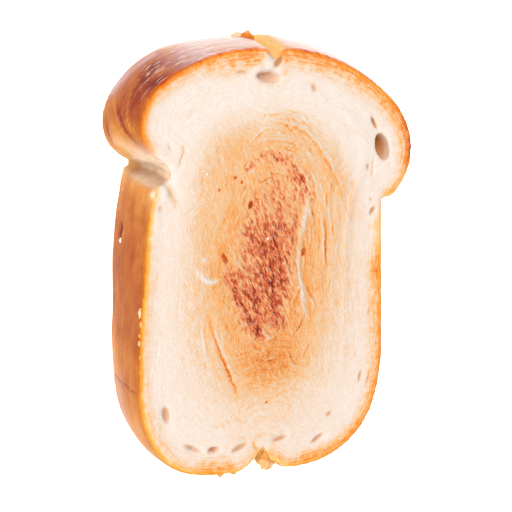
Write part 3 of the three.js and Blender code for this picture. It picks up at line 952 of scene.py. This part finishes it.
# %% Move the points
LOWEST = 0.0
moved = places + slopes * relief[:, None]
moved[:, 2] = np.maximum(moved[:, 2], LOWEST)
toast.data.vertices.foreach_set("co", (moved * MM).ravel())
toast.data.update()
print("relief from", round(relief.min(), 2), "to", round(relief.max(), 2), "mm")

# %% [markdown]
# The finish is worked out in the material, from measures that ride on the mesh as named attributes. That
# keeps the colours procedural, and finer than the faces, because more grain is added in the shader.

# %% Store the measures on the mesh
NEAR_RIM = (22, 8)


def store(mesh, name, values):
    attribute = mesh.attributes.new(name, "FLOAT", "POINT")
    attribute.data.foreach_set("value", values.astype(np.float32))


def store_vector(mesh, name, vectors):
    attribute = mesh.attributes.new(name, "FLOAT_VECTOR", "POINT")
    attribute.data.foreach_set("vector", vectors.astype(np.float32).ravel())


# pale and dark hold the crumb's own marks and burnt specks, and also the painted highlights and shade of
# lips, creases and slits
MEASURES = {
    "toasted": toasted, "scorched": scorched, "grain": scorch_grain, "pale": pale, "dark": dark,
    "hole_shade": hole_shade, "torn": torn, "crust": crust, "crust_tone": crust_tone, "gloss": gloss,
    "edge": edge, "glow": glow, "rim_tint": rim_tint, "streaked": streaked, "painted_sheen": painted_sheen, "shade": shade,
    "near_rim": smooth_step(*NEAR_RIM, rim_gap),
}
for name, values in MEASURES.items():
    store(toast.data, name, values)
store_vector(toast.data, "flow", flow)
print("measures stored:", ", ".join(MEASURES))

# %% [markdown]
# One material covers the slice, because crumb and crust are one piece of bread that shades from one into
# the other. Colour ramps hold the bread's tones: pale crumb to toasted, the scorch, the crust and the rim.
# The tones are given as they look in bright light, so each is made a little darker before it is used.

# %% Set the tones of the bread
FACE_LIGHT = 1.4
TOAST_LIGHT = 1.3
WALL_LIGHT = 1.75
RIM_LIGHT = 1.3
FACE_SHEEN = 0.02
WALL_SHEEN = 0.03
LEAST = 0.006


def tone(red, green, blue, light=FACE_LIGHT, sheen=FACE_SHEEN):
    """A colour that looks like this screen colour under the bright light, with its faint white sheen."""
    seen = linear(red, green, blue)[:3]
    return tuple(max((channel - sheen) / light, LEAST) for channel in seen) + (1.0,)


def toast_shade(red, green, blue):
    return tone(red, green, blue, TOAST_LIGHT)


def crust_shade(red, green, blue):
    return tone(red, green, blue, WALL_LIGHT, WALL_SHEEN)


def rim_shade(red, green, blue):
    return tone(red, green, blue, RIM_LIGHT)


CRUMB_TONES = [
    (0.00, tone(255, 242, 232)), (0.08, tone(253, 235, 221)), (0.22, tone(252, 228, 208)),
    (0.38, tone(252, 213, 175)), (0.54, toast_shade(251, 192, 134)), (0.70, toast_shade(252, 170, 98)),
    (0.85, toast_shade(248, 146, 78)), (1.00, toast_shade(204, 96, 52)),
]
SCORCH_TONES = [
    (0.0, toast_shade(252, 200, 150)), (0.25, toast_shade(249, 161, 105)), (0.5, toast_shade(230, 119, 83)),
    (0.75, toast_shade(184, 83, 64)), (1.0, toast_shade(136, 54, 47)),
]
CRUST_TONES = [
    (0.00, crust_shade(254, 204, 132)), (0.25, crust_shade(240, 161, 86)), (0.5, crust_shade(208, 122, 66)),
    (0.75, crust_shade(176, 84, 46)), (1.00, crust_shade(128, 50, 24)),
]
RIM_TONES = [
    (0.0, rim_shade(254, 210, 124)), (0.35, rim_shade(253, 178, 66)), (0.7, rim_shade(248, 140, 48)),
    (1.0, rim_shade(210, 92, 38)),
]
# painted shade inside the air holes and pores, from tan to deep brown
HOLE_SHADE_TONES = [(0.3, tone(231, 150, 56)), (1.0, tone(184, 114, 60))]
# the two grey-tan tones in the middle are a painted shade of the recess
TORN_TONES = [
    (0.0, tone(253, 233, 216)), (0.3, tone(247, 210, 168)), (0.55, tone(208, 174, 148)),
    (0.65, tone(204, 168, 138)), (1.0, tone(253, 201, 126)),
]
# the tone of the painted sheen, a pale reflection laid into the crust's colour
PAINTED_SHEEN_TONE = crust_shade(239, 204, 202)
# the tone of the painted glints on the shoulder
GLINT_TONE = tone(255, 238, 222)
# pale grains in the toast, partly the crumb's own paler flakes and partly painted highlights
FLAKE_AND_GLINT_TONE = tone(254, 218, 182)
RAMPS = (CRUMB_TONES, SCORCH_TONES, CRUST_TONES, RIM_TONES, HOLE_SHADE_TONES, TORN_TONES)
print("tones in the ramps:", sum(map(len, RAMPS)))

# %% [markdown]
# A material of this kind is a long chain of small nodes. A helper class with one short method for each kind
# of node keeps the chain readable, so that a line of code reads as one step of the mixing.

# %% Write short ways to add nodes
class Nodes:
    """Adds nodes to one material and wires them up."""

    # a mix node has sockets for several kinds of value, and these are the ones for colours
    COLOUR_A, COLOUR_B, MIXED_COLOUR = 6, 7, 2

    def __init__(self, material):
        material.use_nodes = True
        self.tree = material.node_tree
        self.shader = self.tree.nodes["Principled BSDF"]

    def wire(self, value, socket):
        if isinstance(value, bpy.types.NodeSocket):
            self.tree.links.new(value, socket)
        else:
            socket.default_value = value

    def measure(self, name, output="Fac"):
        node = self.tree.nodes.new("ShaderNodeAttribute")
        node.attribute_name = name
        return node.outputs[output]

    def math(self, operation, a, b=0.0, c=0.0, clamp=False):
        node = self.tree.nodes.new("ShaderNodeMath")
        node.operation = operation
        node.use_clamp = clamp
        for value, socket in zip((a, b, c), node.inputs):
            self.wire(value, socket)
        return node.outputs[0]

    def total(self, *values):
        result = values[0]
        for value in values[1:]:
            result = self.math("ADD", result, value)
        return result

    def times(self, a, b):
        return self.math("MULTIPLY", a, b)

    def blend(self, a, b, share):
        """Two values added up, with this share of the first and the rest of the second."""
        return self.math("MULTIPLY_ADD", a, share, self.times(b, 1 - share))

    def about_zero(self, value, amount):
        """A noise of 0 to 1 turned into one that swings as far either way as an amount."""
        return self.math("MULTIPLY_ADD", value, 2 * amount, -amount)

    def noise(self, place, size, turn=0.0, detail=3.0, roughness=0.6, swirl=0.0):
        """Noise from 0 to 1 with grains of a given size along each axis, bent by a swirl."""
        mapping = self.tree.nodes.new("ShaderNodeMapping")
        mapping.vector_type = "TEXTURE"
        mapping.inputs["Rotation"].default_value[2] = turn
        mapping.inputs["Scale"].default_value = size
        self.wire(place, mapping.inputs["Vector"])
        node = self.tree.nodes.new("ShaderNodeTexNoise")
        node.inputs["Scale"].default_value = 1.0
        node.inputs["Detail"].default_value = detail
        node.inputs["Roughness"].default_value = roughness
        node.inputs["Distortion"].default_value = swirl
        self.wire(mapping.outputs[0], node.inputs["Vector"])
        return node.outputs["Fac"]

    def steps(self, value, low, high, start=0.0, end=1.0):
        node = self.tree.nodes.new("ShaderNodeMapRange")
        node.interpolation_type = "SMOOTHSTEP"
        for name, number in zip(("From Min", "From Max", "To Min", "To Max"), (low, high, start, end)):
            self.wire(number, node.inputs[name])
        self.wire(value, node.inputs["Value"])
        return node.outputs["Result"]

    def tones(self, value, stops):
        node = self.tree.nodes.new("ShaderNodeValToRGB")
        ramp = node.color_ramp
        while len(ramp.elements) < len(stops):
            ramp.elements.new(0.5)
        for element, (position, colour) in zip(ramp.elements, stops):
            element.position = position
            element.color = colour
        self.wire(value, node.inputs["Fac"])
        return node.outputs["Color"]

    def mix(self, share, a, b):
        node = self.tree.nodes.new("ShaderNodeMix")
        node.data_type = "RGBA"
        self.wire(share, node.inputs["Factor"])
        self.wire(a, node.inputs[self.COLOUR_A])
        self.wire(b, node.inputs[self.COLOUR_B])
        return node.outputs[self.MIXED_COLOUR]

    def bump(self, height, distance, normal=None):
        node = self.tree.nodes.new("ShaderNodeBump")
        node.inputs["Distance"].default_value = distance
        self.wire(height, node.inputs["Height"])
        if normal is not None:
            self.wire(normal, node.inputs["Normal"])
        return node.outputs["Normal"]


print("ways to add nodes:", ", ".join(name for name in vars(Nodes) if name.islower() and name[0] != "_"))

# %% [markdown]
# Now the mixing itself, one finish at a time. The scorch breaks through in grains: the more scorched a place
# is, the lower the threshold that a grain has to pass to turn dark. One smooth dark patch would look painted
# on, so streaks, flecks and blotches of noise, all with the lean of the layers, decide which grains go first.

# %% Mix the scorch
def mm(*sizes):
    """Sizes in millimetres as metres."""
    return tuple(size * MM for size in sizes)


SCORCH_STREAKS = {
    "size": mm(6.0, 1.2, 1.2), "turn": SCORCH_LEAN, "detail": 5.0, "roughness": 0.75, "swirl": 0.6,
}
SCORCH_FLECKS = {
    "size": mm(1.8, 0.7, 0.7), "turn": SCORCH_LEAN, "detail": 3.0, "roughness": 0.7, "swirl": 0.4,
}
SCORCH_BLOTCHES = {"size": mm(8.0, 3.5, 3.5), "turn": SCORCH_LEAN, "detail": 2.0, "swirl": 0.5}
GLINT_GRAINS = {"size": mm(2.4, 0.6, 0.6), "turn": SCORCH_LEAN, "detail": 2.0}
RELIEF_SHARE = 0.3
STREAK_SWING = 0.85
FLECK_SWING = 0.95
BLOTCH_SWING = 0.32
BREAK_PER_GRAIN = 0.3
BREAKS_THROUGH = (0.05, 0.55)
SCORCH_STARTS = (0.03, 0.25)
DARK_PER_SCORCH = 1.3
DARK_PER_GRAIN = 1.1
DARK_START = -0.33
GLINTS = (0.56, 0.7, 0.0, 0.75)
GLINTS_START = (0.3, 0.65)


def scorch_grains(n, place):
    """Grains that lean with the scorch, about -1 to 1: dark where they sink, pale where they stand up."""
    return n.total(
        n.times(n.measure("grain"), RELIEF_SHARE),
        n.about_zero(n.noise(place, **SCORCH_STREAKS), STREAK_SWING),
        n.about_zero(n.noise(place, **SCORCH_FLECKS), FLECK_SWING),
        n.about_zero(n.noise(place, **SCORCH_BLOTCHES), BLOTCH_SWING),
    )


def scorch_share(n, grains):
    """How far the scorch has broken through, and how dark it is there."""
    scorched_level = n.measure("scorched")
    broken = n.math("MULTIPLY_ADD", grains, BREAK_PER_GRAIN, scorched_level)
    share = n.times(n.steps(broken, *BREAKS_THROUGH), n.steps(scorched_level, *SCORCH_STARTS))
    from_grains = n.math("MULTIPLY_ADD", grains, DARK_PER_GRAIN, DARK_START)
    darkness = n.math("MULTIPLY_ADD", scorched_level, DARK_PER_SCORCH, from_grains)
    darkness = n.math("ADD", darkness, n.measure("dark"))
    return share, n.math("SUBTRACT", darkness, n.measure("pale"), clamp=True)


def glint_share(n, place):
    """Pale grains that stand up in the toasted middle: partly paler crumb, partly painted highlights."""
    glints = n.steps(n.noise(place, **GLINT_GRAINS), *GLINTS)
    return n.times(glints, n.steps(n.measure("toasted"), *GLINTS_START))


print("finest scorch grain:", round(min(SCORCH_FLECKS["size"]) / MM, 2), "mm")

# %% [markdown]
# The crumb starts pale and goes up its ramp with the toasting. Streaks, layers and fibres that follow the
# flow vary it, most where it is toasted, and near the rim it takes on a speckled tint. A single noise would
# look like sand, so each kind of grain has its own size and its own share.

# %% Mix the crumb
CRUMB_STREAKS = {"size": (8.0, 8.0, 0.5), "detail": 4.0}
DASHES = {"size": (3.0, 3.0, 0.7), "detail": 3.0}
LAYERS = {"size": (7.0, 7.0, 1.3), "detail": 4.0, "swirl": 0.4}
FIBRES = {"size": (5.0, 5.0, 0.5), "detail": 3.0, "swirl": 0.3}
CRUMB_MOTTLE = {"size": mm(2.2, 2.2, 2.2), "detail": 5.0, "roughness": 0.7}
CRUMB_START = 0.06
CRUMB_FINE_SWING = 0.2
FIBRE_SWING = 0.5
LAYER_SWING = 0.5
CRUMB_STREAK_SWING = 0.22
CRUMB_MOTTLE_SWING = 0.18
SCORCH_IN_CRUMB = 0.24
DASH_STEPS = (0.45, 0.7, 0.0, 0.07)
MOTTLE_IN_SPECKLE = 0.55
RIM_SPECKLE = (0.36, 0.64, 0.4, 1.05)
MOST_RIM_TINT = 0.7


def crumb_colour(n, place, fine, grains):
    """The crumb's colour, and the streaks in it for others to share."""
    flow_place = n.measure("flow", "Vector")
    toasting = n.measure("toasted")
    streak = n.noise(flow_place, **CRUMB_STREAKS)
    mottle = n.noise(place, **CRUMB_MOTTLE)
    speckle = n.steps(n.blend(mottle, streak, MOTTLE_IN_SPECKLE), *RIM_SPECKLE)
    dashes = n.steps(n.noise(flow_place, **DASHES), *DASH_STEPS)
    level = n.total(
        n.math("ADD", toasting, CRUMB_START),
        n.about_zero(fine, CRUMB_FINE_SWING),
        n.times(n.about_zero(n.noise(flow_place, **FIBRES), FIBRE_SWING), toasting),
        n.times(n.about_zero(n.noise(flow_place, **LAYERS), LAYER_SWING), toasting),
        n.about_zero(streak, CRUMB_STREAK_SWING),
        n.about_zero(mottle, CRUMB_MOTTLE_SWING),
        n.times(dashes, n.measure("near_rim")),
        n.math("MINIMUM", n.times(n.measure("rim_tint"), speckle), MOST_RIM_TINT),
        n.times(grains, n.times(toasting, SCORCH_IN_CRUMB)),
        n.measure("dark"),
    )
    level = n.math("SUBTRACT", level, n.measure("pale"), clamp=True)
    return n.tones(level, CRUMB_TONES), streak


print("thinnest fibre of the crumb:", FIBRES["size"][2], "mm")

# %% [markdown]
# The crust's tone comes from the patches, with long streaks and blotches of noise on top. Its pale painted
# sheen, a reflection laid into the colour, is broken up by the same noise, and the painted glints on the
# shoulder are the places where a thin noise passes a threshold.

# %% Mix the crust
LONG_STREAKS = {"size": mm(20.0, 20.0, 1.8), "detail": 5.0}
CRUST_BLOTCHES = {"size": mm(9.0, 9.0, 6.0), "detail": 3.0}
GLINT_STREAKS = {"size": mm(6.0, 6.0, 0.8), "detail": 3.0}
LONG_STREAK_SWING = 0.2
CRUST_BLOTCH_SWING = 0.26
SHOULDER_BLOTCH_SWING = 0.5
CRUST_FINE_SWING = 0.08
PAINTED_GLINT_STEPS = (0.58, 0.68, 0.0, 0.8)
BLOTCHES_IN_PAINTED_SHEEN = 0.5
PATCHY_PAINTED_SHEEN = (0.38, 0.58, 0.25, 0.82)


def crust_colour(n, place, fine):
    streak = n.noise(place, **LONG_STREAKS)
    blotches = n.noise(place, **CRUST_BLOTCHES)
    shoulder = n.measure("streaked")
    level = n.total(
        n.measure("crust_tone"),
        n.about_zero(streak, LONG_STREAK_SWING),
        n.about_zero(blotches, CRUST_BLOTCH_SWING),
        n.times(n.about_zero(blotches, SHOULDER_BLOTCH_SWING), shoulder),
        n.about_zero(fine, CRUST_FINE_SWING),
        n.measure("dark"),
    )
    level = n.math("SUBTRACT", level, n.measure("pale"), clamp=True)
    # the painted sheen, broken up by the noise, is laid over the crust's tone
    patchy = n.steps(n.blend(blotches, streak, BLOTCHES_IN_PAINTED_SHEEN), *PATCHY_PAINTED_SHEEN)
    with_painted_sheen = n.mix(n.times(n.measure("painted_sheen"), patchy), n.tones(level, CRUST_TONES), PAINTED_SHEEN_TONE)
    # painted glints: thin bright streaks of highlight laid into the shoulder's colour
    shoulder_glints = n.steps(n.noise(place, **GLINT_STREAKS), *PAINTED_GLINT_STEPS)
    return n.mix(n.times(shoulder_glints, shoulder), with_painted_sheen, GLINT_TONE)


print("longest streak of the crust:", round(max(LONG_STREAKS["size"]) / MM, 1), "mm")

# %% [markdown]
# The finishes are then laid over each other, as they came about: crumb, scorch, pale grains with painted
# glints, the painted shade in the holes, crust with its painted sheen and glints, the glow along the rim and
# last the bare crumb in the tears, with painted shade in their recesses. Bread is dull, and only the crown
# has a coat. The finest bumps are left to the shader, because no mesh could be fine enough for them.

# %% Mix the bread
FINE_GRAIN = {"size": mm(0.6, 0.6, 0.6)}
EDGE_MOTTLE = {"size": mm(2.5, 2.5, 2.5), "detail": 4.0, "roughness": 0.7}
EDGE_STEPS = (0.3, 0.55, 0.6, 1.0)
GLOW_STREAK_SWING = 0.3
GLOW_MOTTLE_SWING = 0.4
TORN_FINE_SWING = 0.1
TORN_MOTTLE_SWING = 0.15
BREAD_SPECULAR = 0.06
CRUMB_DULLNESS = 0.85
CRUST_SMOOTHER = -0.35
COAT_DULLNESS = 0.2
FINE_BUMP = 0.18 * MM
GRAIN_BUMP = -0.5 * MM
STREAK_BUMP = 0.08 * MM


def edge_colour(n, streak, mottle):
    """The glow along the rim, from gold to red orange."""
    streaked_glow = n.math("ADD", n.measure("glow"), n.about_zero(streak, GLOW_STREAK_SWING))
    return n.tones(n.math("ADD", streaked_glow, n.about_zero(mottle, GLOW_MOTTLE_SWING)), RIM_TONES)


def torn_colour(n, fine, mottle):
    """The bare crumb in a tear, almost white where it isn't shaded."""
    fine_shade = n.math("ADD", n.measure("shade"), n.about_zero(fine, TORN_FINE_SWING))
    return n.tones(n.math("ADD", fine_shade, n.about_zero(mottle, TORN_MOTTLE_SWING)), TORN_TONES)


def bread_material():
    material = bpy.data.materials.new("bread")
    n = Nodes(material)
    place = n.tree.nodes.new("ShaderNodeTexCoord").outputs["Object"]
    fine = n.noise(place, **FINE_GRAIN)
    mottle = n.noise(place, **EDGE_MOTTLE)
    grains = scorch_grains(n, place)
    hole_shade_level = n.measure("hole_shade")
    crust_share = n.measure("crust")
    edge_share = n.times(n.measure("edge"), n.steps(mottle, *EDGE_STEPS))
    torn_share = n.times(n.measure("torn"), crust_share)

    colour, streak = crumb_colour(n, place, fine, grains)
    share, darkness = scorch_share(n, grains)
    colour = n.mix(share, colour, n.tones(darkness, SCORCH_TONES))
    colour = n.mix(glint_share(n, place), colour, FLAKE_AND_GLINT_TONE)
    colour = n.mix(hole_shade_level, colour, n.tones(hole_shade_level, HOLE_SHADE_TONES))
    colour = n.mix(crust_share, colour, crust_colour(n, place, fine))
    colour = n.mix(edge_share, colour, edge_colour(n, streak, mottle))
    colour = n.mix(torn_share, colour, torn_colour(n, fine, mottle))
    n.wire(colour, n.shader.inputs["Base Color"])

    n.shader.inputs["Specular IOR Level"].default_value = BREAD_SPECULAR
    n.wire(n.math("MULTIPLY_ADD", crust_share, CRUST_SMOOTHER, CRUMB_DULLNESS), n.shader.inputs["Roughness"])
    n.wire(n.measure("gloss"), n.shader.inputs["Coat Weight"])
    n.shader.inputs["Coat Roughness"].default_value = COAT_DULLNESS
    fine_bump = n.bump(fine, FINE_BUMP)
    grain_bump = n.bump(n.times(grains, n.measure("toasted")), GRAIN_BUMP, fine_bump)
    n.wire(n.bump(streak, STREAK_BUMP, grain_bump), n.shader.inputs["Normal"])
    return material


toast.data.materials.append(bread_material())
print("bread material made with", len(toast.data.materials[0].node_tree.nodes), "nodes")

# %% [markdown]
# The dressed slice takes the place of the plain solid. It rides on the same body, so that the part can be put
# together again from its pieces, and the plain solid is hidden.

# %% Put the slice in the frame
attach(toast, "root")
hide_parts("toast")
print("triangles in the dressed slice:", triangle_count(toast.data))

# %% [markdown]
# A few crumbs still cling to the slice: flakes along the left rim, a fleck on the wall, white specks on the
# face, and larger crumbs in the split, in the cleft and at the foot. A particle system would make them all
# alike, so each is a small ball that noise has made lumpy. It is set on the nearest point of the skin and
# sunk in a little, so that it stays put from whichever side it is seen.

# %% List the clinging crumbs
CRUMBS = [
    # name, place, size along the three axes, browning from 0 to 1
    ("long rim flake", (-50.0, -15.6, 24.4), (1.3, 3.4, 1.1), 0.26),
    ("second rim flake", (-49.9, -19.0, 24.4), (0.8, 2.2, 0.8), 0.36),
    ("third rim flake", (-50.0, -22.6, 24.4), (0.6, 1.4, 0.7), 0.4),
    ("fourth rim flake", (-50.2, -25.4, 24.4), (0.8, 1.9, 0.8), 0.36),
    ("lowest rim flake", (-50.0, -29.8, 24.4), (0.6, 1.3, 0.6), 0.42),
    ("fleck on the wall", (-49.5, 5.9, 9.0), (1.0, 1.6, 1.8), 0.0),
    ("pale crumb in the split", (-9.2, 73.8, 8.5), (4.6, 3.4, 4.8), 0.25),
    ("brown crumb in the split", (-6.9, 74.2, 11.0), (3.6, 3.8, 7.4), 0.8),
    ("flap in the cleft", (0.6, -73.8, 20.5), (5.6, 4.8, 5.0), 0.36),
    ("torn bridge in the cleft", (-0.8, -70.6, 23.0), (3.0, 4.4, 3.6), 0.56),
    ("left crumb at the foot", (-18.6, -76.2, 23.0), (2.6, 2.6, 2.0), 0.42),
    ("right crumb at the foot", (-12.4, -76.4, 22.6), (3.4, 3.4, 2.4), 0.42),
    ("white speck in the scorch", (-4.0, 7.0, 25.0), (1.0, 1.3, 0.8), 0.0),
    ("first of a white cluster", (-28.8, 30.4, 25.0), (1.1, 0.8, 0.6), 0.0),
    ("second of a white cluster", (-27.4, 29.6, 25.0), (0.9, 1.1, 0.6), 0.0),
    ("third of a white cluster", (-27.2, 31.2, 25.0), (0.8, 0.8, 0.6), 0.05),
]
print("clinging crumbs:", len(CRUMBS))

# %% Shape the crumbs
CRUMB_LUMPS = 0.42
LUMP_GRAIN = (0.4, 0.4, 0.4)
BALL_SPLITS = 4
BALL_RADIUS = 0.5
SUNK_SHARE = 0.2


def lumpy_ball(size, shift):
    """Points and faces of a small ball of a given size, made uneven by noise."""
    ball = bmesh.new()
    bmesh.ops.create_icosphere(ball, subdivisions=BALL_SPLITS, radius=BALL_RADIUS)
    points = np.array([vertex.co for vertex in ball.verts])
    faces = [[vertex.index for vertex in face.verts] for face in ball.faces]
    ball.free()
    lumps = 1 + CRUMB_LUMPS * grain(points + shift, LUMP_GRAIN)
    return points * lumps[:, None] * np.array(size), faces


def crumb_piece():
    points, faces, browned = [], [], []
    aims = np.array([crumb[1] for crumb in CRUMBS])
    gaps, seats = nearest(aims, moved)
    for index, (_, _, size, browning) in enumerate(CRUMBS):
        ball, ball_faces = lumpy_ball(size, index)
        reach_out = seats[index] - np.array([0, 0, FACE_Z / 2])
        start = len(browned)
        points.extend(ball + seats[index] - SUNK_SHARE * min(size) * reach_out / np.linalg.norm(reach_out))
        faces.extend([[start + corner for corner in face] for face in ball_faces])
        browned.extend([browning] * len(ball))
    mesh = bpy.data.meshes.new("clinging_crumbs")
    mesh.from_pydata((np.array(points) * MM).tolist(), [], faces)
    mesh.shade_smooth()
    store(mesh, "browned", np.array(browned))
    print("crumbs set within", round(float(gaps.max()), 1), "mm of their places")
    return bpy.data.objects.new("clinging_crumbs", mesh)


crumbs = crumb_piece()

# %% Finish the crumbs
CRUMB_GRAIN = {"size": mm(0.7, 0.7, 0.7)}
CRUMB_SWING = 0.25
CRUMB_BUMP = 0.2 * MM
CRUMB_FINISH = [(0.0, tone(255, 240, 228)), (0.4, tone(255, 192, 118)), (0.8, tone(228, 132, 56))]


def crumb_material():
    material = bpy.data.materials.new("clinging_crumbs")
    n = Nodes(material)
    place = n.tree.nodes.new("ShaderNodeTexCoord").outputs["Object"]
    fine = n.noise(place, **CRUMB_GRAIN)
    level = n.math("ADD", n.measure("browned"), n.about_zero(fine, CRUMB_SWING), clamp=True)
    n.wire(n.tones(level, CRUMB_FINISH), n.shader.inputs["Base Color"])
    n.shader.inputs["Roughness"].default_value = CRUMB_DULLNESS
    n.shader.inputs["Specular IOR Level"].default_value = BREAD_SPECULAR
    n.wire(n.bump(fine, CRUMB_BUMP), n.shader.inputs["Normal"])
    return material


crumbs.data.materials.append(crumb_material())
bpy.context.collection.objects.link(crumbs)
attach(crumbs, "root")
print("triangles in the crumbs:", triangle_count(crumbs.data))

# %% [markdown]
# The dressed slice must be the size of the solid that it stands for.
